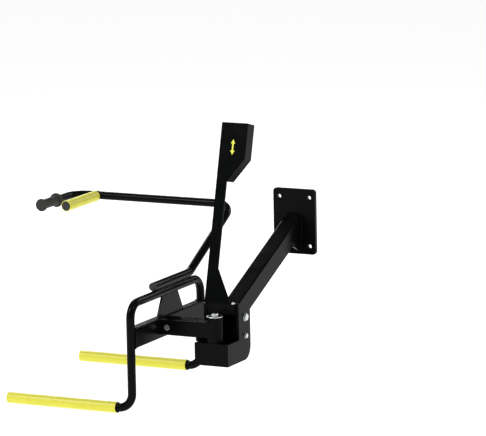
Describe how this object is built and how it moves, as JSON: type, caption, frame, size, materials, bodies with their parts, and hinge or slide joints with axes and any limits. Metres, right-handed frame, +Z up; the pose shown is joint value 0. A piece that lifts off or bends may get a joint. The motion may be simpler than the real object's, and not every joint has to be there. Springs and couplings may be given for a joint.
{
  "type": "swing-arm wheel lift",
  "caption": "Tube fork with yellow roller sleeves that carries a vehicle wheel, on a vertical swing pivot under an inclined lift arm with a control mast.",
  "frame": {"origin": "centre of the mounting flange's rear face", "axes": "+Z up, +Y out of the flange's rear face towards the lift carriage, +X to the operator's right; the fork's tines point to -X at rest"},
  "size_m": [0.851, 0.7145, 0.821],
  "materials": {
    "black_paint": "satin powder coat",
    "zinc_plate": "bright zinc plate",
    "ground_steel": "ground",
    "bronze": "plain",
    "nickel_brass": "nickel plated",
    "anodised_aluminium": "satin anodised",
    "yellow_plastic": "smooth satin",
    "yellow_sign": "printed film",
    "black_plastic": "moulded",
    "black_rubber": "moulded"
  },
  "bodies": {
    "base": {"mounting_flange": "black_paint", "flange_ribs": "black_paint", "lift_arm": "black_paint", "head_bolt": "zinc_plate", "arm_seat_plate": "black_paint", "left_side_plate": "black_paint", "right_side_plate": "black_paint", "bracket_wrap": "black_paint", "head_plate": "black_paint", "spacer_bar": "black_paint", "upper_side_bolt": "zinc_plate", "lower_side_bolt": "zinc_plate", "side_bolt_washers": "zinc_plate", "pivot_boss": "black_paint", "pivot_post": "ground_steel", "thrust_washer": "ground_steel", "pivot_top_washer": "zinc_plate", "pivot_top_bolt": "zinc_plate", "mast_plate": "black_paint", "arrow_sign": "yellow_sign", "pod_shell": "black_paint", "pod_back_cover": "black_paint", "cover_screws": "zinc_plate", "hose_gland": "black_plastic", "valve_body": "anodised_aluminium", "hose_fittings": "nickel_brass", "lever_pin": "ground_steel"},
    "swing": {"swing_barrel": "black_paint", "upper_bush": "bronze", "lower_bush": "bronze", "swing_arm": "black_paint", "stop_lug": "black_paint", "stop_screw": "black_paint", "fork_tongue": "black_paint", "tongue_bolt": "zinc_plate", "tongue_nut": "zinc_plate", "crossmember": "black_paint", "gusset_plate": "black_paint", "fork_frame": "black_paint", "sleeve_caps": "black_plastic", "sleeve_collars": "black_paint", "handle_tube": "black_paint", "handle_cap": "black_plastic", "handle_saddle": "black_paint", "retaining_bar": "black_paint", "hand_grip": "black_rubber"},
    "spool": {"valve_spool": "ground_steel"},
    "lever": {"control_lever": "ground_steel", "lever_knob": "black_plastic"},
    "near_roller": {"near_tine_sleeve": "yellow_plastic"},
    "far_roller": {"far_tine_sleeve": "yellow_plastic"},
    "retainer_roller": {"retaining_sleeve": "yellow_plastic"}
  },
  "joints": [
    {"name": "fork_swing", "type": "hinge", "parent": "base", "child": "swing", "pos_m": [-0.03, -0.502, -0.24], "axis": [0, 0, 1], "range_deg": [0, 200]},
    {"name": "near_sleeve_spin", "type": "hinge", "parent": "swing", "child": "near_roller", "pos_m": [-0.45, -0.69, -0.457], "axis": [1, 0, 0], "continuous": true},
    {"name": "far_sleeve_spin", "type": "hinge", "parent": "swing", "child": "far_roller", "pos_m": [-0.45, -0.235, -0.422], "axis": [1, 0, 0], "continuous": true},
    {"name": "retaining_sleeve_spin", "type": "hinge", "parent": "swing", "child": "retainer_roller", "pos_m": [-0.679, -0.119, 0.0385], "axis": [0, 1, 0], "continuous": true},
    {"name": "lever_tilt", "type": "hinge", "parent": "base", "child": "lever", "pos_m": [-0.041, -0.30886, 0.27393], "axis": [1, 0, 0], "range_deg": [-12, 12], "stiffness_Nm_per_rad": 0.6},
    {"name": "spool_slide", "type": "slide", "parent": "base", "child": "spool", "axis": [0, 0.2622, 0.965], "range_m": [-0.0021, 0.0021]}
  ],
  "couplings": [
    {"joint": "spool_slide", "follows": "lever_tilt", "m_per_rad": -0.0098}
  ]
}
